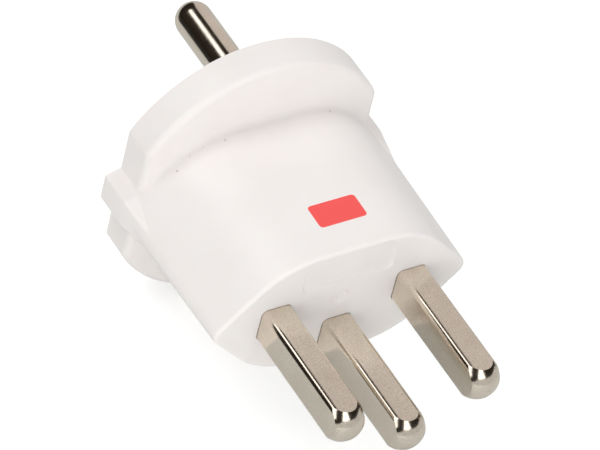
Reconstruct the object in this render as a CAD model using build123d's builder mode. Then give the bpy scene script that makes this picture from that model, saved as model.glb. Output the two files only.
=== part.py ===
from build123d import *

import os
from math import hypot

# A plug adapter, in millimetres: three rectangular plug pins on one side, an earthed socket on the other.
# The plug face lies in the XZ plane at y = 0, with the origin midway between its two live pins.
# The plug pins point along -Y, the socket face looks along +Y, and the socket's earth pin is on the +Z side.

# Plug pins, drawn bar with a ball nose
LIVE_PITCH = 19.0
EARTH_DROP = 5.0
PIN_WIDTH = 4.0
PIN_HEIGHT = 5.0
PIN_EDGE = 0.75
LIVE_PIN_LENGTH = 19.0
EARTH_PIN_LENGTH = 19.3
PIN_HEAD_WIDTH = 6.6
PIN_HEAD_DEPTH = 1.5
PIN_TAIL_RADIUS = 1.8

# Socket side
SOCKET_HOLE_RADIUS = 2.65
SOCKET_HOLE_CHAMFER = 0.5
GUIDE_WALL = 1.0
GUIDE_LENGTH = 0.9
SOCKET_EARTH_RISE = 10.0
SOCKET_EARTH_RADIUS = 2.4
SOCKET_EARTH_LENGTH = 15.6
SHANK_RADIUS = 2.8
PIN_COLLAR_RADIUS = 3.8

# Housing, a hexagonal body that ends in a round flange with two flats
BODY_MARGIN = 8.15
BODY_HEIGHT = 18.6
FLAT_HALF_WIDTH = 8.85
CORNER_RADIUS = 11.5
TIP_RADIUS = 1.55
BODY_DRAFT = 1.2
FACE_EDGE = 0.5
HOUSING_LENGTH = 26.9
FLANGE_THICKNESS = 4.8
FLANGE_RADIUS = 18.45
FLAT_SETBACK = 1.45
FLANGE_EDGE = 0.9
FLANGE_CORNER = 1.0
BODY_ROOT = 0.7
WALL = 1.5
HOLLOW_TIP_RADIUS = 0.6
FRONT_WALL = 2.0
RIM_WALL = 1.8
FLANGE_WALL = 1.4
LEDGE = 1.4

# Side ribs, the flange's flats between them
RIB_PROJECTION = 2.1
RIB_HALF_HEIGHT = 1.95
RIB_ROOT_HALF_HEIGHT = 2.65
RIB_TAPER = 8.5
RIB_SHOULDER = 0.35
RIB_EDGE = 0.45
RIB_CREST = 0.7

# Marking panel and gate mark on the plug face
PANEL_WIDTH = 12.8
PANEL_LOW = 3.6
PANEL_HIGH = 8.3
PANEL_CORNER = 0.9
PANEL_DEPTH = 0.3
PANEL_SLOPE = 45
GATE_X = -0.4
GATE_Z = 1.0
GATE_RADIUS = 1.3
GATE_DEPTH = 0.25
GATE_SLOPE = 60
GATE_STUB_RADIUS = 0.38
GATE_STUB_LENGTH = 0.22
GATE_STUB_EDGE = 0.15

# Socket plate
PLATE_THICKNESS = 2.4
TONGUE_WIDTH = 4.0
TONGUE_HEIGHT = 0.8
TONGUE_REACH = 0.8
TONGUE_SPREAD = 11.0
TONGUE_ROOT = 2.0
TONGUE_SETBACK = 0.8

# Contact carrier
CARRIER_THICKNESS = 1.5
BARRIER_THICKNESS = 1.2
BARRIER_OFFSET = 5.1

# Live contacts, bent from strip
CONTACT_STRIP = 0.6
CONTACT_WIDTH = 5.0
CONTACT_BASE_HALF = 3.1
CONTACT_WAIST_HALF = 2.25
CONTACT_MOUTH_HALF = 2.95
CONTACT_BEND = 0.9
CONTACT_TOP_GAP = 0.5
WAIST_SETBACK = 4.6
SPRING_STRIP = 0.4
SPRING_HEIGHT = 3.0
SPRING_SPLIT = 1.6
SPRING_SETBACK = 0.5

# Earth strap
STRAP_THICKNESS = 0.8
STRAP_WIDTH = 8.0
STRAP_BEND = 1.2
STRAP_CREST = -0.4
STRAP_FOOT_END = 1.9
STRAP_HEAD_END = 4.4

# Contact screws and their spring washers
CONTACT_SCREW_RADIUS = 1.0
CONTACT_SCREW_HEAD_RADIUS = 2.0
CONTACT_SCREW_HEAD = 1.4
CONTACT_SCREW_REACH = 3.2
DRIVE_SLOT = 0.6
WASHER_RADIUS = 2.0
WASHER_THICKNESS = 0.5
WASHER_SPLIT = 0.5

# Plate screw and its boss
PLATE_SCREW_RISE = 3.5
PLATE_SCREW_RADIUS = 1.25
PLATE_SCREW_HEAD_RADIUS = 2.5
PLATE_SCREW_LENGTH = 13.0
SCREW_SINK = 0.15
SCREW_HEAD_ANGLE = 90
CROSS_SPAN = 3.6
CROSS_TAPER = 10
BOSS_RADIUS = 2.6
BOSS_WEB = 1.6

# Clearances
PIN_FIT = 0.05
PLATE_FIT = 0.1
CARRIER_FIT = 0.1
SCREW_FIT = 0.03
HOLE_FIT = 0.25
STACK_FIT = 0.05

# Places that several pieces share
FLANGE_FRONT = HOUSING_LENGTH - FLANGE_THICKNESS
PLATE_SEAT = HOUSING_LENGTH - PLATE_THICKNESS
FLANGE_FLOOR = FLANGE_FRONT + FLANGE_WALL
CARRIER_SEAT = FRONT_WALL + PIN_HEAD_DEPTH
CONTACT_SEAT = CARRIER_SEAT + CARRIER_THICKNESS
CARRIER_TOP = PLATE_SEAT - STACK_FIT
LIVE_X = LIVE_PITCH / 2
BODY_WIDTH = LIVE_PITCH + 2 * BODY_MARGIN
FLANGE_FLAT = BODY_WIDTH / 2 - FLAT_SETBACK
RIB_REACH = FLANGE_FLAT + RIB_PROJECTION
PIN_PLACES = ((-LIVE_X, 0), (LIVE_X, 0), (0, -EARTH_DROP))
SOCKET_PLACES = ((-LIVE_X, 0), (LIVE_X, 0))
TONGUE_START = PLATE_SEAT + TONGUE_SETBACK
NOSE_RADIUS = hypot(PIN_WIDTH / 2 - PIN_EDGE, PIN_HEIGHT / 2 - PIN_EDGE) + PIN_EDGE


def across(y, x=0.0, z=0.0):
    """A plane across the adapter at depth y, facing the plug pins, with its own x and y along X and Z."""
    return Plane(origin=(x, y, z), x_dir=(1, 0, 0), z_dir=(0, -1, 0))


def along(x, z):
    """A plane that holds a pin's axis: its own x and y run along X and Y."""
    return Plane(origin=(x, 0, z), x_dir=(1, 0, 0), z_dir=(0, 0, 1))


def axis_at(x, z):
    """The Y-wise axis through a pin or screw."""
    return Axis((x, 0, z), (0, 1, 0))


def body_outline(inset=0.0, tip_radius=TIP_RADIUS):
    """The body's long hexagon with soft corners at the plug face, set in by inset and drawn flat."""
    slope = BODY_HEIGHT / (BODY_WIDTH - 2 * FLAT_HALF_WIDTH)
    stretch = hypot(1, slope) / slope
    half_height = BODY_HEIGHT / 2 - inset
    sharp_tip = BODY_WIDTH / 2 + TIP_RADIUS * (stretch - 1) - inset * stretch
    flat_half_width = sharp_tip - half_height / slope
    with BuildSketch() as outline:
        with BuildLine():
            Polyline(
                (sharp_tip, 0),
                (flat_half_width, half_height),
                (-flat_half_width, half_height),
                (-sharp_tip, 0),
                (-flat_half_width, -half_height),
                (flat_half_width, -half_height),
                close=True,
            )
        make_face()
        fillet(outline.vertices().group_by(Axis.Y)[0], CORNER_RADIUS - inset)
        fillet(outline.vertices().group_by(Axis.Y)[-1], CORNER_RADIUS - inset)
        fillet(outline.vertices().group_by(Axis.X)[0], tip_radius)
        fillet(outline.vertices().group_by(Axis.X)[-1], tip_radius)
    return outline.sketch


def flange_outline(inset=0.0):
    """The flange's round outline with its two flats, set in by inset and drawn flat."""
    with BuildSketch() as outline:
        Circle(FLANGE_RADIUS - inset)
        Rectangle(2 * (FLANGE_FLAT - inset), 2 * FLANGE_RADIUS, mode=Mode.INTERSECT)
        fillet(outline.vertices(), FLANGE_CORNER)
    return outline.sketch


def rib_outline(side, reach, half_height, edge):
    """A side rib's section, on the right for side 1 and on the left for side -1, wider towards its root."""
    root = FLANGE_FLAT - WALL
    spread = (RIB_ROOT_HALF_HEIGHT - RIB_HALF_HEIGHT) / (RIB_REACH - FLANGE_FLAT)
    root_half_height = half_height + spread * (reach - root)
    with BuildSketch() as outline:
        with BuildLine():
            Polyline(
                (side * root, -root_half_height),
                (side * reach, -half_height),
                (side * reach, half_height),
                (side * root, root_half_height),
                close=True,
            )
        make_face()
        fillet(outline.vertices().filter_by(lambda v: abs(v.X) > (root + reach) / 2), edge)
    return outline.sketch


def tongue_outline(clearance=0.0):
    """The plate's two tongues below its lower edge, drawn flat."""
    plate_radius = FLANGE_RADIUS - RIM_WALL - PLATE_FIT
    with BuildSketch() as outline:
        with Locations((-TONGUE_SPREAD / 2, -plate_radius), (TONGUE_SPREAD / 2, -plate_radius)):
            Rectangle(TONGUE_WIDTH + 2 * clearance, 2 * TONGUE_ROOT)
        Circle(plate_radius + TONGUE_REACH + clearance, mode=Mode.INTERSECT)
    return outline.sketch


def finish(part, name):
    """Label a finished piece and write it."""
    part.label = name
    export_step(part, f"parts/{name}.step")


os.makedirs("parts", exist_ok=True)

# Housing: the outside form
with BuildPart() as housing:
    with BuildSketch(across(FLANGE_FRONT)):
        add(flange_outline())
    extrude(amount=-FLANGE_THICKNESS)
    fillet(housing.faces().sort_by(Axis.Y)[0].edges(), FLANGE_EDGE)

    with BuildSketch(across(0)):
        add(body_outline())
    extrude(amount=-(FLANGE_FRONT + FLANGE_WALL), taper=-BODY_DRAFT)
    fillet(housing.faces().sort_by(Axis.Y)[0].edges(), FACE_EDGE)
    joint_edges = housing.edges().filter_by_position(Axis.Y, FLANGE_FRONT - 0.01, FLANGE_FRONT + 0.01)
    root_edges = joint_edges.filter_by(lambda e: abs(e.center().Z) < BODY_HEIGHT / 2 + BODY_ROOT)
    root_reach = FLANGE_FLAT - TIP_RADIUS - BODY_ROOT
    fillet(root_edges.filter_by(lambda e: abs(e.center().X) < root_reach), BODY_ROOT)

    # a rib on each flat, fading into the body's side
    for side in (1, -1):
        with BuildSketch(across(HOUSING_LENGTH)):
            add(rib_outline(side, RIB_REACH, RIB_HALF_HEIGHT, RIB_EDGE))
        with BuildSketch(across(FLANGE_FRONT)):
            add(rib_outline(side, RIB_REACH, RIB_HALF_HEIGHT, RIB_EDGE))
        loft()
        with BuildSketch(across(FLANGE_FRONT)):
            add(rib_outline(side, RIB_REACH, RIB_HALF_HEIGHT, RIB_EDGE))
        with BuildSketch(across(FLANGE_FRONT - RIB_TAPER)):
            add(rib_outline(side, BODY_WIDTH / 2 - RIB_SHOULDER, TIP_RADIUS / 2, RIB_CREST))
        loft()

    # the hollow for the contacts, the recess behind the flange and the seat of the socket plate
    with BuildSketch(across(CARRIER_SEAT)):
        add(body_outline(WALL, HOLLOW_TIP_RADIUS))
    extrude(amount=-(PLATE_SEAT - CARRIER_SEAT), mode=Mode.SUBTRACT)
    with BuildSketch(across(FLANGE_FLOOR)):
        add(flange_outline(RIM_WALL + LEDGE))
    extrude(amount=-(PLATE_SEAT - FLANGE_FLOOR), mode=Mode.SUBTRACT)
    with BuildSketch(across(PLATE_SEAT)):
        add(flange_outline(RIM_WALL))
    extrude(amount=-PLATE_THICKNESS, mode=Mode.SUBTRACT)

    # the boss for the plate's screw, with a web to the upper wall
    with BuildSketch(across(CARRIER_SEAT)):
        with Locations((0, PLATE_SCREW_RISE)):
            Circle(BOSS_RADIUS)
    extrude(amount=-(CARRIER_TOP - CARRIER_SEAT))
    with BuildSketch(across(CARRIER_SEAT)):
        with Locations((0, (PLATE_SCREW_RISE + BODY_HEIGHT / 2 - WALL / 2) / 2)):
            Rectangle(BOSS_WEB, BODY_HEIGHT / 2 - WALL / 2 - PLATE_SCREW_RISE)
    extrude(amount=-(FLANGE_FLOOR - CARRIER_SEAT))
    with BuildSketch(across(CARRIER_TOP, z=PLATE_SCREW_RISE)):
        Circle(PLATE_SCREW_RADIUS + SCREW_FIT)
    extrude(amount=PLATE_SCREW_LENGTH, mode=Mode.SUBTRACT)

    # the pins' holes and the pockets for their heads
    with BuildSketch(across(0)):
        with Locations(*PIN_PLACES):
            RectangleRounded(PIN_WIDTH + 2 * PIN_FIT, PIN_HEIGHT + 2 * PIN_FIT, PIN_EDGE + PIN_FIT)
    extrude(amount=-FRONT_WALL, mode=Mode.SUBTRACT)
    with BuildSketch(across(FRONT_WALL)):
        with Locations(*PIN_PLACES):
            Rectangle(PIN_HEAD_WIDTH + 2 * PIN_FIT, PIN_HEIGHT + 2 * PIN_FIT)
    extrude(amount=-PIN_HEAD_DEPTH, mode=Mode.SUBTRACT)

    # slots in the rim for the plate's tongues
    with BuildSketch(across(TONGUE_START - PLATE_FIT)):
        add(tongue_outline(PLATE_FIT))
    extrude(amount=-(TONGUE_HEIGHT + 2 * PLATE_FIT), mode=Mode.SUBTRACT)

    # the bare marking panel and the gate mark
    with BuildSketch(across(0, z=(PANEL_LOW + PANEL_HIGH) / 2)):
        RectangleRounded(PANEL_WIDTH, PANEL_HIGH - PANEL_LOW, PANEL_CORNER)
    extrude(amount=-PANEL_DEPTH, taper=PANEL_SLOPE, mode=Mode.SUBTRACT)
    with BuildSketch(across(0, GATE_X, GATE_Z)):
        Circle(GATE_RADIUS)
    extrude(amount=-GATE_DEPTH, taper=GATE_SLOPE, mode=Mode.SUBTRACT)
    with BuildSketch(across(GATE_DEPTH, GATE_X, GATE_Z)):
        Circle(GATE_STUB_RADIUS)
    extrude(amount=GATE_STUB_LENGTH)
    round_edges = housing.edges().filter_by(GeomType.CIRCLE)
    stub_rims = round_edges.filter_by(lambda e: abs(e.radius - GATE_STUB_RADIUS) < 0.01)
    fillet(stub_rims.sort_by(Axis.Y)[0], GATE_STUB_EDGE)
finish(housing.part, "housing")


# Plug pins
def plug_pin(x, z, length):
    """A drawn bar with a ball nose, a T-shaped head inside the front wall and a tapped tail."""
    with BuildPart() as pin:
        with BuildSketch(across(FRONT_WALL, x, z)):
            RectangleRounded(PIN_WIDTH, PIN_HEIGHT, PIN_EDGE)
        extrude(amount=FRONT_WALL + length)
        with BuildSketch(along(x, z)):
            with BuildLine():
                Line((0, -length), (0, FRONT_WALL))
                Line((0, FRONT_WALL), (NOSE_RADIUS, FRONT_WALL))
                Line((NOSE_RADIUS, FRONT_WALL), (NOSE_RADIUS, NOSE_RADIUS - length))
                RadiusArc((NOSE_RADIUS, NOSE_RADIUS - length), (0, -length), NOSE_RADIUS)
            make_face()
        revolve(axis=axis_at(x, z), mode=Mode.INTERSECT)
        with BuildSketch(across(FRONT_WALL, x, z)):
            Rectangle(PIN_HEAD_WIDTH, PIN_HEIGHT)
        extrude(amount=-PIN_HEAD_DEPTH)
        with BuildSketch(across(CARRIER_SEAT, x, z)):
            Circle(PIN_TAIL_RADIUS)
        extrude(amount=-(CARRIER_THICKNESS - STACK_FIT))
        with BuildSketch(across(CONTACT_SEAT - STACK_FIT, x, z)):
            Circle(CONTACT_SCREW_RADIUS + SCREW_FIT)
        extrude(amount=CONTACT_SCREW_REACH, mode=Mode.SUBTRACT)
    return pin.part


finish(plug_pin(-LIVE_X, 0, LIVE_PIN_LENGTH), "line_pin")
finish(plug_pin(LIVE_X, 0, LIVE_PIN_LENGTH), "neutral_pin")
finish(plug_pin(0, -EARTH_DROP, EARTH_PIN_LENGTH), "earth_pin")

# Contact carrier: an insulating plate on the pins' heads, with a barrier each side of the earth strap
with BuildPart() as carrier:
    with BuildSketch(across(CARRIER_SEAT)):
        add(body_outline(WALL + CARRIER_FIT, HOLLOW_TIP_RADIUS))
    extrude(amount=-CARRIER_THICKNESS)
    with BuildSketch(across(CONTACT_SEAT)):
        add(body_outline(WALL + CARRIER_FIT, HOLLOW_TIP_RADIUS))
        with Locations((-BARRIER_OFFSET, 0), (BARRIER_OFFSET, 0)):
            Rectangle(BARRIER_THICKNESS, BODY_HEIGHT, mode=Mode.INTERSECT)
    extrude(amount=-(CARRIER_TOP - CONTACT_SEAT))
    with BuildSketch(across(CARRIER_SEAT)):
        with Locations((-LIVE_X, 0), (LIVE_X, 0)):
            Circle(PIN_TAIL_RADIUS + PIN_FIT)
        with Locations((0, -EARTH_DROP)):
            Circle(PIN_TAIL_RADIUS + PIN_FIT)
        with Locations((0, -(EARTH_DROP + BODY_HEIGHT / 2) / 2)):
            Rectangle(2 * (PIN_TAIL_RADIUS + PIN_FIT), BODY_HEIGHT / 2 - EARTH_DROP)
        with Locations((0, PLATE_SCREW_RISE)):
            Circle(BOSS_RADIUS + CARRIER_FIT)
        with Locations((0, (PLATE_SCREW_RISE + BODY_HEIGHT / 2) / 2)):
            Rectangle(2 * (BOSS_RADIUS + CARRIER_FIT), BODY_HEIGHT / 2 - PLATE_SCREW_RISE)
    extrude(amount=-CARRIER_THICKNESS, mode=Mode.SUBTRACT)
finish(carrier.part, "contact_carrier")


# Live contacts, each bent from one strip into a fork with a waist
def live_contact(x):
    """A fork above and below a plug pin's way, drawn as its middle line and given the strip's thickness."""
    half = CONTACT_STRIP / 2
    top = PLATE_SEAT - GUIDE_LENGTH - CONTACT_TOP_GAP
    base = CONTACT_SEAT + half
    waist = top - WAIST_SETBACK
    with BuildPart() as contact:
        with BuildSketch(Plane.YZ.offset(x - CONTACT_WIDTH / 2)):
            with BuildLine():
                FilletPolyline(
                    (top, CONTACT_MOUTH_HALF + half),
                    (waist, CONTACT_WAIST_HALF + half),
                    (base, CONTACT_BASE_HALF - half),
                    (base, -CONTACT_BASE_HALF + half),
                    (waist, -CONTACT_WAIST_HALF - half),
                    (top, -CONTACT_MOUTH_HALF - half),
                    radius=CONTACT_BEND,
                )
            trace(line_width=CONTACT_STRIP)
        extrude(amount=CONTACT_WIDTH)
        with BuildSketch(across(CONTACT_SEAT, x)):
            Circle(CONTACT_SCREW_RADIUS + HOLE_FIT)
        extrude(amount=-CONTACT_STRIP, mode=Mode.SUBTRACT)
    return contact.part


def contact_spring(x):
    """A split steel ring round a fork, just below its waist, with its gap towards the middle."""
    waist = PLATE_SEAT - GUIDE_LENGTH - CONTACT_TOP_GAP - WAIST_SETBACK
    slope = (CONTACT_BASE_HALF - CONTACT_STRIP - CONTACT_WAIST_HALF) / (waist - CONTACT_SEAT)
    lower = waist - SPRING_SETBACK - SPRING_HEIGHT
    inner_half_width = CONTACT_WIDTH / 2 + PIN_FIT
    inner_half_height = CONTACT_WAIST_HALF + CONTACT_STRIP + slope * (waist - lower) + PIN_FIT
    with BuildPart() as spring:
        with BuildSketch(across(lower, x)):
            RectangleRounded(
                2 * (inner_half_width + SPRING_STRIP),
                2 * (inner_half_height + SPRING_STRIP),
                SPRING_STRIP + PIN_FIT,
            )
            Rectangle(2 * inner_half_width, 2 * inner_half_height, mode=Mode.SUBTRACT)
            side = -1 if x > 0 else 1
            with Locations((side * (inner_half_width + SPRING_STRIP / 2), 0)):
                Rectangle(2 * SPRING_STRIP, SPRING_SPLIT, mode=Mode.SUBTRACT)
        extrude(amount=-SPRING_HEIGHT)
    return spring.part


for side_name, side_x in (("line", -LIVE_X), ("neutral", LIVE_X)):
    finish(live_contact(side_x), side_name + "_contact")
    finish(contact_spring(side_x), side_name + "_contact_spring")

# Earth strap, from the socket's earth pin past the plate's screw to the plug's earth pin
with BuildPart() as earth_strap:
    strap_half = STRAP_THICKNESS / 2
    with BuildSketch(Plane.YZ.offset(-STRAP_WIDTH / 2)):
        with BuildLine():
            FilletPolyline(
                (PLATE_SEAT + strap_half, SOCKET_EARTH_RISE + STRAP_HEAD_END),
                (PLATE_SEAT + strap_half, STRAP_CREST),
                (CONTACT_SEAT + strap_half, STRAP_CREST),
                (CONTACT_SEAT + strap_half, -EARTH_DROP - STRAP_FOOT_END),
                radius=STRAP_BEND,
            )
        trace(line_width=STRAP_THICKNESS)
    extrude(amount=STRAP_WIDTH)
    with BuildSketch(across(PLATE_SEAT)):
        with Locations((0, SOCKET_EARTH_RISE)):
            Circle(SHANK_RADIUS + PIN_FIT)
        with Locations((0, PLATE_SCREW_RISE)):
            Circle(PLATE_SCREW_RADIUS + HOLE_FIT)
    extrude(amount=-STRAP_THICKNESS, mode=Mode.SUBTRACT)
    with BuildSketch(across(CONTACT_SEAT, z=-EARTH_DROP)):
        Circle(CONTACT_SCREW_RADIUS + HOLE_FIT)
    extrude(amount=-STRAP_THICKNESS, mode=Mode.SUBTRACT)
finish(earth_strap.part, "earth_strap")

# Contact screws and spring washers, one pair on each pin's tail
STACKS = (
    (-LIVE_X, 0, CONTACT_SEAT + CONTACT_STRIP),
    (LIVE_X, 0, CONTACT_SEAT + CONTACT_STRIP),
    (0, -EARTH_DROP, CONTACT_SEAT + STRAP_THICKNESS),
)
with BuildPart() as washers:
    for x, z, seat in STACKS:
        with BuildSketch(across(seat, x, z)):
            Circle(WASHER_RADIUS)
            Circle(CONTACT_SCREW_RADIUS + HOLE_FIT, mode=Mode.SUBTRACT)
            with Locations((WASHER_RADIUS / 2, 0)):
                Rectangle(WASHER_RADIUS * 2, WASHER_SPLIT, mode=Mode.SUBTRACT)
        extrude(amount=-WASHER_THICKNESS)
finish(washers.part, "spring_washers")

with BuildPart() as contact_screws:
    for x, z, seat in STACKS:
        under_head = seat + WASHER_THICKNESS
        with BuildSketch(across(under_head, x, z)):
            Circle(CONTACT_SCREW_HEAD_RADIUS)
        extrude(amount=-CONTACT_SCREW_HEAD)
        with BuildSketch(across(under_head, x, z)):
            Circle(CONTACT_SCREW_RADIUS)
        extrude(amount=CONTACT_SCREW_REACH)
        with BuildSketch(across(under_head + CONTACT_SCREW_HEAD, x, z)):
            Rectangle(2 * CONTACT_SCREW_HEAD_RADIUS, DRIVE_SLOT)
        extrude(amount=CONTACT_SCREW_HEAD / 2, mode=Mode.SUBTRACT)
finish(contact_screws.part, "contact_screws")

# Socket earth pin, its collar held between the flange and the strap
with BuildPart() as socket_earth_pin:
    tip = HOUSING_LENGTH + SOCKET_EARTH_LENGTH
    with BuildSketch(along(0, SOCKET_EARTH_RISE)):
        with BuildLine():
            Polyline(
                (0, tip),
                (0, FLANGE_FLOOR),
                (PIN_COLLAR_RADIUS, FLANGE_FLOOR),
                (PIN_COLLAR_RADIUS, PLATE_SEAT),
                (SHANK_RADIUS, PLATE_SEAT),
                (SHANK_RADIUS, HOUSING_LENGTH),
                (SOCKET_EARTH_RADIUS, HOUSING_LENGTH),
                (SOCKET_EARTH_RADIUS, tip - SOCKET_EARTH_RADIUS),
            )
            RadiusArc((SOCKET_EARTH_RADIUS, tip - SOCKET_EARTH_RADIUS), (0, tip), -SOCKET_EARTH_RADIUS)
        make_face()
    revolve(axis=axis_at(0, SOCKET_EARTH_RISE))
finish(socket_earth_pin.part, "socket_earth_pin")

# Socket plate
with BuildPart() as socket_plate:
    with BuildSketch(across(PLATE_SEAT)):
        add(flange_outline(RIM_WALL + PLATE_FIT))
    extrude(amount=-PLATE_THICKNESS)
    with BuildSketch(across(PLATE_SEAT - GUIDE_LENGTH)):
        with Locations(*SOCKET_PLACES):
            Circle(SOCKET_HOLE_RADIUS + GUIDE_WALL)
    extrude(amount=-GUIDE_LENGTH)
    with BuildSketch(across(TONGUE_START)):
        add(tongue_outline())
    extrude(amount=-TONGUE_HEIGHT)
    with BuildSketch(across(PLATE_SEAT)):
        with Locations((0, (SOCKET_EARTH_RISE + STRAP_HEAD_END + STRAP_CREST - STRAP_BEND) / 2)):
            Rectangle(
                STRAP_WIDTH + 2 * PIN_FIT,
                SOCKET_EARTH_RISE + STRAP_HEAD_END - STRAP_CREST + STRAP_BEND + 2 * PIN_FIT,
            )
    extrude(amount=-(STRAP_THICKNESS + STACK_FIT), mode=Mode.SUBTRACT)
    with BuildSketch(across(HOUSING_LENGTH)):
        with Locations(*SOCKET_PLACES):
            Circle(SOCKET_HOLE_RADIUS)
    extrude(amount=PLATE_THICKNESS + GUIDE_LENGTH, mode=Mode.SUBTRACT)
    with BuildSketch(across(HOUSING_LENGTH, z=SOCKET_EARTH_RISE)):
        Circle(SHANK_RADIUS + PIN_FIT)
    extrude(amount=PLATE_THICKNESS, mode=Mode.SUBTRACT)
    with Locations(Plane(origin=(0, HOUSING_LENGTH, PLATE_SCREW_RISE), x_dir=(1, 0, 0), z_dir=(0, 1, 0))):
        CounterSinkHole(
            radius=PLATE_SCREW_RADIUS + HOLE_FIT,
            counter_sink_radius=PLATE_SCREW_HEAD_RADIUS + HOLE_FIT,
            depth=PLATE_THICKNESS,
            counter_sink_angle=SCREW_HEAD_ANGLE,
        )
    mouths = socket_plate.edges().filter_by(GeomType.CIRCLE).group_by(Axis.Y)[-1]
    chamfer(mouths.filter_by(lambda e: abs(e.radius - SOCKET_HOLE_RADIUS) < 0.01), SOCKET_HOLE_CHAMFER)
finish(socket_plate.part, "socket_plate")

# Plate screw, countersunk, with a cross recess
with BuildPart() as plate_screw:
    head_top = HOUSING_LENGTH - SCREW_SINK
    cone_end = head_top - (PLATE_SCREW_HEAD_RADIUS - PLATE_SCREW_RADIUS)
    with BuildSketch(along(0, PLATE_SCREW_RISE)):
        with BuildLine():
            Polyline(
                (0, head_top),
                (PLATE_SCREW_HEAD_RADIUS, head_top),
                (PLATE_SCREW_RADIUS, cone_end),
                (PLATE_SCREW_RADIUS, head_top - PLATE_SCREW_LENGTH + PLATE_SCREW_RADIUS),
                (0, head_top - PLATE_SCREW_LENGTH),
                close=True,
            )
        make_face()
    revolve(axis=axis_at(0, PLATE_SCREW_RISE))
    with BuildSketch(across(head_top, z=PLATE_SCREW_RISE)):
        Rectangle(CROSS_SPAN, DRIVE_SLOT)
        Rectangle(DRIVE_SLOT, CROSS_SPAN)
    extrude(amount=PLATE_SCREW_RADIUS, taper=CROSS_TAPER, mode=Mode.SUBTRACT)
finish(plate_screw.part, "plate_screw")
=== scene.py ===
# %% [markdown]
# # A plug adapter, from construction to picture
#
# The adapter is a warm-white moulding with three rectangular plug pins on one side and an earthed socket
# on the other. Its shapes come from the construction model, in metres, and are used as they are. This
# lesson adds what a construction model lacks: the plastic's gloss and its small flaws, the drawn and
# plated surface of the pins, the threads that the screws carry, a camera and a studio.

import math

import bpy
from mathutils import Matrix, Vector


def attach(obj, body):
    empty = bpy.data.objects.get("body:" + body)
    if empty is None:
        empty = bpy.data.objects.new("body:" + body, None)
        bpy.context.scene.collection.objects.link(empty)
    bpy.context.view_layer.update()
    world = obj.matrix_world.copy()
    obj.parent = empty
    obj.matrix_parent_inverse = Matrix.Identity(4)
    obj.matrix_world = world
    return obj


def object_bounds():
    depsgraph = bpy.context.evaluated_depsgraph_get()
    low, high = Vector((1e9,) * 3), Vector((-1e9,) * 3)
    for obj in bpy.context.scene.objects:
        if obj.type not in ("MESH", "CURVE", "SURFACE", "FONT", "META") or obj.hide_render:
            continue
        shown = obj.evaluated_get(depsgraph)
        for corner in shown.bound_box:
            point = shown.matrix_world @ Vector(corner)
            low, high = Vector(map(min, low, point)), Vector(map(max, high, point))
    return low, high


MM = 0.001

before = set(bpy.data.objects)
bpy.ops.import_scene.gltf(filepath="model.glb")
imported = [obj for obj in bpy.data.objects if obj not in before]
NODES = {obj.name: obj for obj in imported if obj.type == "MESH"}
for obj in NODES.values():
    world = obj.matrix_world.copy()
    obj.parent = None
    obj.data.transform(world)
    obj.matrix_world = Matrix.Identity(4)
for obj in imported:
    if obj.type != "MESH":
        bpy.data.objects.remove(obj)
bounds_at_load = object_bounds()
for name, node in sorted(NODES.items()):
    print(f"{name}: {len(node.data.polygons)} triangles, slots {[m.name for m in node.data.materials]}")
print("bounds in mm:", [[round(v / MM, 2) for v in corner] for corner in bounds_at_load])

# %% [markdown]
# ## The camera
#
# The picture looks down on the adapter from the plug side and its left, and the camera is rolled, so that
# the pins point at the lower right corner. A long lens keeps the pins nearly parallel, as they are on a
# small product that is photographed from far away. The camera's three axes are worked out from where it
# stands, where it looks and its roll, which is clearer than three angles.

# %% Place the camera
CAMERA_FROM = Vector((-299.6, -338.9, 457.2)) * MM
CAMERA_AT = Vector((-1.97, 8.69, 5.45)) * MM
CAMERA_ROLL = math.radians(14.87)
CAMERA_LENS = 322.3
CAMERA_SENSOR = 36
CAMERA_NEAR = 0.01
CAMERA_FAR = 10

backward = (CAMERA_FROM - CAMERA_AT).normalized()
level_right = Vector((0, 0, 1)).cross(backward).normalized()
level_up = backward.cross(level_right)
right = level_right * math.cos(CAMERA_ROLL) + level_up * math.sin(CAMERA_ROLL)
up = backward.cross(right)

camera_data = bpy.data.cameras.new("camera")
camera_data.lens = CAMERA_LENS
camera_data.sensor_width = CAMERA_SENSOR
camera_data.clip_start = CAMERA_NEAR
camera_data.clip_end = CAMERA_FAR
camera = bpy.data.objects.new("camera", camera_data)
turned = Matrix((right, up, backward)).transposed().to_4x4()
camera.matrix_world = Matrix.Translation(CAMERA_FROM) @ turned
bpy.context.scene.collection.objects.link(camera)
bpy.context.scene.camera = camera
print("camera looks down by", round(math.degrees(math.asin(backward.z)), 1), "degrees")

# %% [markdown]
# ## Writing node trees as sums
#
# A shader is a graph, but most of it is arithmetic. Wire wraps one output socket, and each operator on it
# adds the Math node that does the sum, so a mask reads like a formula. Graph adds every other kind of
# node with one method, which takes the node's type, its settings and the values or wires of its inputs.
# Both work in any node tree: this lesson uses them for materials, for the thread's geometry and for the
# world.

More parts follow.
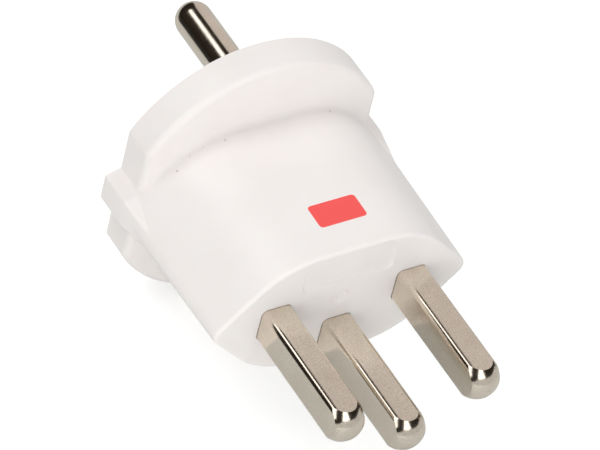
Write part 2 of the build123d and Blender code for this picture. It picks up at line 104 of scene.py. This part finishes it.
# %% Wire and Graph
class Wire:
    """One output socket that can be used in a sum."""

    def __init__(self, graph, socket):
        self.graph = graph
        self.socket = socket

    def sum(self, operation, *values):
        return self.graph.node("ShaderNodeMath", {"operation": operation}, dict(enumerate(values)))

    def __add__(self, other):
        return self.sum("ADD", self, other)

    def __radd__(self, other):
        return self.sum("ADD", other, self)

    def __sub__(self, other):
        return self.sum("SUBTRACT", self, other)

    def __rsub__(self, other):
        return self.sum("SUBTRACT", other, self)

    def __mul__(self, other):
        return self.sum("MULTIPLY", self, other)

    def __rmul__(self, other):
        return self.sum("MULTIPLY", other, self)

    def __truediv__(self, other):
        return self.sum("DIVIDE", self, other)

    def __rtruediv__(self, other):
        return self.sum("DIVIDE", other, self)

    def __pow__(self, other):
        return self.sum("POWER", self, other)

    def __rpow__(self, other):
        return self.sum("POWER", other, self)

    def size(self):
        return self.sum("ABSOLUTE", self)

    def at_least(self, other):
        return self.sum("MAXIMUM", self, other)

    def step(self, start, end):
        """0 below start, 1 above end and a smooth climb between them; start may be the larger one."""
        inputs = {"Value": self, "From Min": start, "From Max": end, "To Min": 0.0, "To Max": 1.0}
        return self.graph.node("ShaderNodeMapRange", {"interpolation_type": "SMOOTHSTEP"}, inputs)


class Graph:
    """A node tree being written."""

    def __init__(self, tree):
        self.tree = tree

    def node(self, kind, settings=None, inputs=None, output=0):
        """Any node: its settings are set first, then its inputs are given their values or wires."""
        made = self.tree.nodes.new(kind)
        for setting, value in (settings or {}).items():
            setattr(made, setting, value)
        for name, value in (inputs or {}).items():
            self.give(made.inputs[name], value)
        return Wire(self, made.outputs[output])

    def give(self, socket, value):
        if isinstance(value, Wire):
            self.tree.links.new(value.socket, socket)
        else:
            socket.default_value = value


print("Wire and Graph are ready")

# %% [markdown]
# A material adds two things to a graph: its Principled shader, and the place of each point. Patterns read
# the place in millimetres on the piece itself, so they stay where they are when the view changes. The
# helpers below are the few patterns that plastic and metal need: noise, a blend of two colours, a
# distance and a bump.

# %% Recipe, a material being written
class Recipe(Graph):
    """The graph of one material, with the place of each point in millimetres."""

    def __init__(self, name):
        self.material = bpy.data.materials.new(name)
        self.material.use_nodes = True
        super().__init__(self.material.node_tree)
        self.shader = self.tree.nodes["Principled BSDF"]
        place = self.node("ShaderNodeTexCoord", output="Object")
        self.place = self.node("ShaderNodeMapping", {}, {"Vector": place, "Scale": (1 / MM, 1 / MM, 1 / MM)})
        axes = self.node("ShaderNodeSeparateXYZ", {}, {"Vector": self.place}).socket.node
        self.x, self.y, self.z = (Wire(self, output) for output in axes.outputs)

    def set(self, **inputs):
        """Give the Principled shader its inputs; a name's underscores stand for spaces."""
        for name, value in inputs.items():
            self.give(self.shader.inputs[name.replace("_", " ")], value)

    def noise(self, scale, detail=2.0, stretch=(1.0, 1.0, 1.0)):
        """Noise with its scale in waves per millimetre, drawn out along an axis by a small stretch."""
        place = self.node("ShaderNodeMapping", {}, {"Vector": self.place, "Scale": stretch})
        return self.node("ShaderNodeTexNoise", {}, {"Vector": place, "Scale": scale, "Detail": detail})

    def blend(self, factor, first, second):
        """A colour that goes from first to second as factor goes from 0 to 1."""
        return self.node("ShaderNodeMix", {"data_type": "RGBA"}, {0: factor, 6: first, 7: second}, output=2)

    def distance(self, point):
        """How far each point lies from one place, in millimetres."""
        ends = {0: self.place, 1: point}
        return self.node("ShaderNodeVectorMath", {"operation": "DISTANCE"}, ends, output="Value")

    def bump(self, height, depth):
        """A bump of the given depth in millimetres."""
        return self.node("ShaderNodeBump", {}, {"Height": height, "Distance": depth * MM, "Strength": 1.0})


print("Recipe is ready")

# %% [markdown]
# ## The plastic
#
# The body is a satin-glossy thermoplastic, warm white and nearly opaque. It sends back about nine tenths
# of the light, which is what fills its inner corners. Only a trace of light goes under the surface, since
# more of it was tried and made these corners darker. The mould leaves a fine orange-peel on the surface.
# A few dark specks of burnt plastic sit where the body meets the flange, and they are placed one by one,
# because they belong to this very adapter. A plain red field is printed on the upper side.

# %% Colours, specks and the printed field, in millimetres
IVORY = (0.935, 0.893, 0.87, 1)
IVORY_SHADE = (0.915, 0.871, 0.846, 1)
SPECK = (0.68, 0.59, 0.55, 1)
SPECK_CORE = 0.3
SPECKS = (
    ((-6.31, 21.01, 9.60), 0.24),
    ((-10.68, 21.37, 8.01), 0.13),
    ((-12.52, 20.81, 6.61), 0.24),
    ((9.01, 21.55, 8.87), 0.24),
    ((-8.95, 21.5, 8.90), 0.10),
)
PRINT_RED = (1.0, 0.10, 0.092, 1)
PRINT_CENTRE = (0.9, 6.1)
PRINT_SIZE = (6.6, 3.6)
PRINT_CORNER = 0.5
PRINT_EDGE = 0.04
PRINT_ABOVE = (8.0, 8.2)
print("specks:", len(SPECKS), "and a printed field of", PRINT_SIZE, "mm")

# %% Ivory plastic
def printed_field(recipe):
    """A mask for a rounded rectangle on the upper side only."""
    half_x, half_y = (side / 2 - PRINT_CORNER for side in PRINT_SIZE)
    past_x = ((recipe.x - PRINT_CENTRE[0]).size() - half_x).at_least(0.0)
    past_y = ((recipe.y - PRINT_CENTRE[1]).size() - half_y).at_least(0.0)
    past = (past_x ** 2.0 + past_y ** 2.0) ** 0.5
    return past.step(PRINT_CORNER + PRINT_EDGE, PRINT_CORNER - PRINT_EDGE) * recipe.z.step(*PRINT_ABOVE)


def ivory_plastic():
    recipe = Recipe("ivory plastic")
    cloud = recipe.noise(0.12, detail=3.0)
    colour = recipe.blend(cloud.step(0.35, 0.7), IVORY, IVORY_SHADE)
    for place, radius in SPECKS:
        colour = recipe.blend(recipe.distance(place).step(radius, radius * SPECK_CORE), colour, SPECK)
    printed = printed_field(recipe)
    peel = recipe.noise(1.6)
    grain = recipe.noise(9.0)
    recipe.set(
        Base_Color=recipe.blend(printed, colour, PRINT_RED),
        Roughness=0.39 + 0.08 * recipe.noise(0.5) + 0.05 * printed,
        Normal=recipe.bump(peel + 0.25 * grain, 0.006),
        IOR=1.49,
        Subsurface_Weight=0.1,
        Subsurface_Radius=(1.0, 0.75, 0.6),
        Subsurface_Scale=1.0 * MM,
    )
    return recipe.material


plastic = ivory_plastic()
print("ivory plastic:", len(plastic.node_tree.nodes), "nodes")

# %% [markdown]
# The contact carrier is another plastic. It holds live metal, so it is a darker, duller one, filled with
# glass fibres that show as faint streaks. Noise that is drawn out along one axis makes them, and feeds
# the colour, the roughness and the bump alike, as the fibres do.

# %% Insulating plastic of the contact carrier
CARRIER_GREY = (0.44, 0.42, 0.38, 1)
CARRIER_FIBRE = (0.52, 0.50, 0.46, 1)


def carrier_plastic():
    recipe = Recipe("carrier plastic")
    glass_fibres = recipe.noise(3.0, detail=4.0, stretch=(1.0, 0.2, 1.0))
    recipe.set(
        Base_Color=recipe.blend(glass_fibres, CARRIER_GREY, CARRIER_FIBRE),
        Roughness=0.5 + 0.2 * glass_fibres,
        Normal=recipe.bump(glass_fibres, 0.01),
    )
    return recipe.material


carrier = carrier_plastic()
print("carrier plastic:", len(carrier.node_tree.nodes), "nodes")

# %% [markdown]
# ## Nickel, brass and steel
#
# The plug pins are drawn brass bar, nickel plated. Drawing leaves fine lines along the bar, and the
# plating leaves a fine speckle that shows in the reflections. The colour of a metal is the colour of its
# reflections, so it is set by what a pin shows close to its root, where it mirrors the white plastic.

# %% Nickel plate
NICKEL = (0.82, 0.735, 0.62, 1)
NICKEL_HAZE = (0.745, 0.66, 0.555, 1)
NICKEL_SPECKLE = (0.665, 0.588, 0.49, 1)


def nickel_plate():
    recipe = Recipe("nickel plate")
    lines = recipe.noise(2.4, detail=4.0, stretch=(1.0, 0.04, 1.0))
    speckle = recipe.noise(5.5)
    haze = recipe.noise(0.25, detail=3.0)
    plating = recipe.blend(haze.step(0.3, 0.75), NICKEL, NICKEL_HAZE)
    recipe.set(
        Base_Color=recipe.blend(speckle.step(0.40, 0.75), plating, NICKEL_SPECKLE),
        Metallic=1.0,
        Roughness=0.10 + 0.07 * haze + 0.07 * speckle,
        Normal=recipe.bump(lines * 0.5 + speckle * 0.5, 0.004),
    )
    return recipe.material


nickel = nickel_plate()
print("nickel plate:", len(nickel.node_tree.nodes), "nodes")

# %% [markdown]
# The metals inside are plainer. The contacts and the earth strap are bare rolled brass, which tarnishes a
# little and keeps lines from the rolls. The springs and washers are spring steel with a blue-grey skin.
# The screws are zinc plated, and the plating's crystals show as small facets, which a Voronoi pattern
# draws.

# %% Brass, spring steel and zinc
BRASS = (0.80, 0.60, 0.30, 1)
BRASS_TARNISH = (0.52, 0.34, 0.16, 1)
STEEL_SKIN = (0.30, 0.31, 0.34, 1)
STEEL_BARE = (0.42, 0.41, 0.42, 1)
ZINC = (0.62, 0.63, 0.64, 1)
ZINC_WORN = (0.50, 0.49, 0.47, 1)


def rolled_brass():
    recipe = Recipe("rolled brass")
    tarnish = recipe.noise(0.5, detail=4.0)
    rolling = recipe.noise(3.0, detail=3.0, stretch=(1.0, 0.05, 1.0))
    recipe.set(
        Base_Color=recipe.blend(tarnish.step(0.35, 0.75), BRASS, BRASS_TARNISH),
        Metallic=1.0,
        Roughness=0.22 + 0.25 * tarnish,
        Normal=recipe.bump(rolling, 0.004),
    )
    return recipe.material


def spring_steel():
    recipe = Recipe("spring steel")
    skin = recipe.noise(0.8, detail=4.0)
    recipe.set(
        Base_Color=recipe.blend(skin.step(0.3, 0.7), STEEL_SKIN, STEEL_BARE),
        Metallic=1.0,
        Roughness=0.28 + 0.2 * skin,
        Normal=recipe.bump(recipe.noise(4.0), 0.003),
    )
    return recipe.material


def zinc_plate():
    recipe = Recipe("zinc plate")
    crystals = recipe.node("ShaderNodeTexVoronoi", {}, {"Vector": recipe.place, "Scale": 2.5})
    wear = recipe.noise(0.9, detail=4.0)
    recipe.set(
        Base_Color=recipe.blend(wear.step(0.35, 0.7), ZINC, ZINC_WORN),
        Metallic=1.0,
        Roughness=0.25 + 0.15 * crystals + 0.1 * wear,
        Normal=recipe.bump(crystals, 0.004),
    )
    return recipe.material


brass, steel, zinc = rolled_brass(), spring_steel(), zinc_plate()
print("metals:", [m.name for m in (nickel, brass, steel, zinc)])

# %% [markdown]
# ## Dressing the construction model
#
# Every node of the construction model is one piece of the adapter and has one finish. A table from node
# to material is the shortest way to say so, and the line below it shows that no node was forgotten.

# %% Give every node its material
FINISH = {
    "housing": plastic,
    "socket_plate": plastic,
    "contact_carrier": carrier,
    "line_pin": nickel,
    "neutral_pin": nickel,
    "earth_pin": nickel,
    "socket_earth_pin": nickel,
    "line_contact": brass,
    "neutral_contact": brass,
    "earth_strap": brass,
    "line_contact_spring": steel,
    "neutral_contact_spring": steel,
    "spring_washers": steel,
    "contact_screws": zinc,
    "plate_screw": zinc,
}
for name, material in FINISH.items():
    slots = NODES[name].data.materials
    if len(slots) == 0:
        slots.append(material)
    for index in range(len(slots)):
        slots[index] = material
print("nodes without a material:", sorted(set(NODES) - set(FINISH)))

# %% [markdown]
# ## Threads on the screws
#
# In the construction model the screws are plain cylinders. A thread follows a rule: a ridge that climbs
# by one pitch a turn. So one small node tree draws it, with the radius, pitch, length and ridge as its
# named inputs, and puts a copy on every point of the mesh it is given. Each point is the end of a screw,
# measured from the model.

# %% The thread's node tree
THREAD_INPUTS = ("Radius", "Pitch", "Length", "Ridge")
STEPS_PER_TURN = 32
RIDGE_SIDES = 4


def thread_tree(material):
    """A ridge swept along a helix, copied to every point and made real."""
    tree = bpy.data.node_groups.new("thread", "GeometryNodeTree")
    tree.interface.new_socket("Geometry", in_out="INPUT", socket_type="NodeSocketGeometry")
    tree.interface.new_socket("Geometry", in_out="OUTPUT", socket_type="NodeSocketGeometry")
    for name in THREAD_INPUTS:
        tree.interface.new_socket(name, in_out="INPUT", socket_type="NodeSocketFloat")
    graph = Graph(tree)
    given = tree.nodes.new("NodeGroupInput")
    ends = Wire(graph, given.outputs["Geometry"])
    radius, pitch, length, height = (Wire(graph, given.outputs[name]) for name in THREAD_INPUTS)
    helix_inputs = {
        "Resolution": STEPS_PER_TURN,
        "Rotations": length / pitch,
        "Start Radius": radius,
        "End Radius": radius,
        "Height": length,
    }
    helix = graph.node("GeometryNodeCurveSpiral", {}, helix_inputs)
    upright = graph.node("GeometryNodeSetCurveNormal", {"mode": "Z_UP"}, {"Curve": helix})
    outline = {"Resolution": RIDGE_SIDES, "Radius": height}
    section = graph.node("GeometryNodeCurvePrimitiveCircle", {}, outline)
    swept = {"Curve": upright, "Profile Curve": section, "Fill Caps": True}
    ridge = graph.node("GeometryNodeCurveToMesh", {}, swept)
    turned = {"Geometry": ridge, "Rotation": (math.radians(-90), 0, 0)}
    along_y = graph.node("GeometryNodeTransform", {}, turned)
    copies = graph.node("GeometryNodeInstanceOnPoints", {}, {"Points": ends, "Instance": along_y})
    real = graph.node("GeometryNodeRealizeInstances", {}, {"Geometry": copies})
    finished = graph.node("GeometryNodeSetMaterial", {}, {"Geometry": real, "Material": material})
    graph.give(tree.nodes.new("NodeGroupOutput").inputs[0], finished)
    return tree


threads = thread_tree(zinc)
print("thread tree:", [socket.name for socket in threads.interface.items_tree])

# %% [markdown]
# The construction model holds the three contact screws as one node, so their points are told apart by the
# gap between the screws. A screw's thread starts at the end of its shank: the lowest point, along Y, that
# lies at the shank's full radius. Measuring it keeps the thread on the screw, whatever the model's
# lengths are.

# %% Find the ends of the screws
# millimetres that lie at least between two screws, and the share of a shank's radius that counts as full
SCREW_GAP = 3.0
FULL_RADIUS = 0.95


def screws_apart(node):
    """The points of each screw of a node, told apart by the gap between them along X."""
    points = sorted((vertex.co / MM for vertex in node.data.vertices), key=lambda point: point.x)
    screws = [[points[0]]]
    for before, point in zip(points, points[1:]):
        if point.x - before.x > SCREW_GAP:
            screws.append([])
        screws[-1].append(point)
    return screws


def shank_end(points, radius):
    """The lowest place on a screw's axis, along Y, where its shank has its full radius."""
    x = (min(p.x for p in points) + max(p.x for p in points)) / 2
    z = (min(p.z for p in points) + max(p.z for p in points)) / 2
    shank = [p.y for p in points if math.hypot(p.x - x, p.z - z) > FULL_RADIUS * radius]
    return Vector((x, min(shank), z))


def crest(piece, end):
    """How far a thread reaches from its screw's axis, in millimetres."""
    reach = [math.hypot(v.co.x / MM - end.x, v.co.z / MM - end.z) for v in piece.data.vertices]
    return max(r for r in reach if r < SCREW_GAP)


print("screws in contact_screws:", len(screws_apart(NODES["contact_screws"])))

# %% [markdown]
# The tree is run on a mesh that has one point for each screw's end. Its result becomes the piece's own
# mesh, and the modifier goes, so that the piece is plain geometry that can be exported like any other.

# %% Put the threads on the screws
# node, its shank's radius, then the thread's pitch, ridge and length, all in millimetres
THREADED = (
    ("contact_screws", 1.0, 0.4, 0.11, 2.9),
    ("plate_screw", 1.25, 1.1, 0.28, 9.0),
)
for name, radius, pitch, ridge, length in THREADED:
    ends = [shank_end(points, radius) for points in screws_apart(NODES[name])]
    mesh = bpy.data.meshes.new(name + "_threads")
    mesh.from_pydata([end * MM for end in ends], [], [])
    piece = bpy.data.objects.new(name + "_threads", mesh)
    bpy.context.scene.collection.objects.link(piece)
    modifier = piece.modifiers.new("thread", "NODES")
    modifier.node_group = threads
    sizes = {"Radius": radius * MM, "Pitch": pitch * MM, "Length": length * MM, "Ridge": ridge * MM}
    for socket in threads.interface.items_tree:
        if socket.name in sizes:
            modifier[socket.identifier] = sizes[socket.name]
    evaluated = piece.evaluated_get(bpy.context.evaluated_depsgraph_get())
    piece.data = bpy.data.meshes.new_from_object(evaluated)
    piece.modifiers.clear()
    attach(piece, "root")
    faces = len(piece.data.polygons)
    print(f"{piece.name}: {len(ends)} screws, {faces} faces, crest at {crest(piece, ends[0]):.2f} mm")

# %% [markdown]
# ## The studio
#
# The adapter was photographed on white. The floor is a pale sheet just under the flange. To the camera it
# looks a little brighter than the lamps make it, which gives the white background while the shadow stays.
# In the metal it looks a little greyer, which keeps the pins' sides from washing out.

# %% Floor
FLOOR_GAP = 0.02
FLOOR_SIZE = 4
FLOOR_WHITE = (0.79, 0.80, 0.795, 1)
FLOOR_MIRRORED = (0.69, 0.71, 0.71, 1)
FLOOR_GLOW = 0.47
WHITE = (1, 1, 1, 1)
BLACK = (0, 0, 0, 1)
floor_height = bounds_at_load[0][2] - FLOOR_GAP * MM


def studio_white():
    recipe = Recipe("studio white")
    mirrored = recipe.node("ShaderNodeLightPath", output="Is Glossy Ray")
    through = recipe.node("ShaderNodeLightPath", output="Is Transmission Ray")
    seen = recipe.node("ShaderNodeLightPath", output="Is Camera Ray").at_least(through)
    recipe.set(
        Base_Color=recipe.blend(mirrored, FLOOR_WHITE, FLOOR_MIRRORED),
        Roughness=0.9,
        Emission_Color=recipe.blend(seen, BLACK, WHITE),
        Emission_Strength=FLOOR_GLOW,
    )
    return recipe.material


bpy.ops.mesh.primitive_plane_add(size=FLOOR_SIZE, location=(0, 0, floor_height))
floor = bpy.context.object
floor.name = "floor"
floor.data.transform(floor.matrix_world)
floor.matrix_world = Matrix.Identity(4)
floor.data.materials.append(studio_white())
print("floor at", round(floor_height / MM, 2), "mm")

# %% [markdown]
# Polished metal shows its surroundings, so the room matters as much as the lamps. Every point of a ball
# nose mirrors another direction, and reading the noses and the round rear pin in the photograph this way
# tells what stood around the adapter: a tall soft box in front, a long one high on the left, a white
# screen behind it on the right, a low white wall in front, and a dark room above and between them. Where
# the white sheet ends, the dark table draws the lower half of the dark line along the pins.
#
# Each of these is a screen that only reflections see. A far one has its corners given as directions seen
# from the adapter: the azimuth turns from +Y towards +X, and the elevation rises from the floor.

# %% Screens that only reflections see
SCREEN_DISTANCE = 1.2
SCREEN_BASE = (0.01, 0.01, 0.01, 1)


def direction(azimuth, elevation):
    """The unit vector towards a direction given in degrees."""
    turn, rise = math.radians(azimuth), math.radians(elevation)
    return Vector((math.cos(rise) * math.sin(turn), math.cos(rise) * math.cos(turn), math.sin(rise)))


def screen(name, points, faces, glow, colour=WHITE):
    """A surface that only reflections see, with its points in metres."""
    recipe = Recipe(name)
    recipe.set(Base_Color=SCREEN_BASE, Roughness=1.0, Emission_Color=colour, Emission_Strength=glow)
    mesh = bpy.data.meshes.new(name)
    mesh.from_pydata(points, [], faces)
    mesh.materials.append(recipe.material)
    thing = bpy.data.objects.new(name, mesh)
    bpy.context.scene.collection.objects.link(thing)
    thing.visible_camera = thing.visible_diffuse = thing.visible_shadow = thing.visible_transmission = False


def band(name, glow, lower, upper, colour=WHITE):
    """A screen far from the adapter, between a lower and an upper row of directions."""
    points = [direction(*corner) * SCREEN_DISTANCE for corner in lower + upper]
    count = len(lower)
    faces = [(i, i + 1, count + i + 1, count + i) for i in range(count - 1)]
    screen(name, points, faces, glow, colour)


print("a screen stands", SCREEN_DISTANCE, "m from the adapter")

# %% What the metal mirrors
SOFT_BOX_GLOW = 1.9
WALL_GLOW = 0.59
SCREEN_GLOW = 0.67
WARM_WHITE = (1.0, 0.94, 0.925, 1)

band(
    "front soft box",
    SOFT_BOX_GLOW,
    lower=[(-192, 28), (-172, 27), (-153, 27)],
    upper=[(-196, 74), (-172, 76), (-148, 74)],
)
band(
    "left soft box",
    SOFT_BOX_GLOW,
    lower=[(-116, 24), (-84, 40), (-62, 43), (-41, 44), (-20, 45)],
    upper=[(-114, 36), (-92, 52), (-70, 59), (-38, 61), (-7, 57)],
)
band(
    "right screen",
    SCREEN_GLOW,
    lower=[(24, -1), (44, -1), (62, -1)],
    upper=[(24, 55), (44, 56), (62, 56)],
    colour=WARM_WHITE,
)
band(
    "low front wall",
    WALL_GLOW,
    lower=[(86, -1), (105, -1), (135, -1), (165, -1), (205, -1), (220, -1), (236, -1)],
    upper=[(86, 8), (105, 18), (135, 20), (165, 26), (205, 26), (220, 14), (236, 6)],
)

# %% [markdown]
# The table is dark where the white sheet doesn't reach. It lies a hair above the floor, on the adapter's
# left, and runs to the horizon, so that no bright line is left beyond it.

# %% Dark table, in millimetres
TABLE_NEAR = -62.0
TABLE_FAR = -2000.0
TABLE_ENDS = (-12.0, 2000.0)
TABLE_RISE = 0.1
table_corners = (
    (TABLE_NEAR, TABLE_ENDS[0]),
    (TABLE_NEAR, TABLE_ENDS[1]),
    (TABLE_FAR, TABLE_ENDS[1]),
    (TABLE_FAR, TABLE_ENDS[0]),
)
table_points = [(x * MM, y * MM, floor_height + TABLE_RISE * MM) for x, y in table_corners]
screen("dark table", table_points, [(0, 1, 2, 3)], glow=0.0)
print("table from", TABLE_NEAR, "to", TABLE_FAR, "mm")

# %% [markdown]
# ## Light
#
# The plastic needs broad, soft light. A key lamp stands high on the left, a large fill in front, a weaker
# one high on the right, and a small one close to the plug face, which lights that face more than the
# flange behind it. Reflections don't see the lamps, because the screens already stand for their mirror
# image.

# %% Lamps
# name, place and size in metres, power in watts
LAMPS = (
    ("key", (-0.44, 0.22, 0.83), 0.5, 2.65),
    ("fill", (-0.27, -0.93, 0.14), 0.7, 2.35),
    ("near fill", (-0.06, -0.17, 0.0), 0.13, 0.10),
    ("right fill", (0.55, 0.22, 0.80), 0.6, 1.5),
)
for name, place, size, watts in LAMPS:
    lamp = bpy.data.lights.new(name, "AREA")
    lamp.shape = "SQUARE"
    lamp.size = size
    lamp.energy = watts
    thing = bpy.data.objects.new(name, lamp)
    thing.location = place
    thing.rotation_euler = Vector(place).to_track_quat("Z", "Y").to_euler()
    thing.visible_glossy = False
    bpy.context.scene.collection.objects.link(thing)

# %% [markdown]
# The world gives each kind of ray what it needs: an even white light on the plastic, a dark and slightly
# warm room in the metal, and pure white behind the adapter.

# %% World
ROOM_LIGHT = 0.56
DARK_ROOM_LIGHT = 0.022
DARK_ROOM = (1.0, 0.78, 0.60, 1)

world = bpy.data.worlds.new("studio")
bpy.context.scene.world = world
world.use_nodes = True
room = Graph(world.node_tree)


def surround(strength, colour=WHITE):
    """An even background of one strength and colour."""
    return room.node("ShaderNodeBackground", {}, {"Color": colour, "Strength": strength})


def choose(ray, otherwise, shader):
    """The shader for rays of one kind, and the other one for all the rest."""
    kind = room.node("ShaderNodeLightPath", output=ray)
    return room.node("ShaderNodeMixShader", {}, {0: kind, 1: otherwise, 2: shader})


look = choose("Is Glossy Ray", surround(ROOM_LIGHT), surround(DARK_ROOM_LIGHT, DARK_ROOM))
look = choose("Is Transmission Ray", look, surround(1.0))
look = choose("Is Camera Ray", look, surround(1.0))
room.give(world.node_tree.nodes["World Output"].inputs["Surface"], look)
bpy.context.scene.view_settings.view_transform = "Standard"
print("world:", len(world.node_tree.nodes), "nodes")
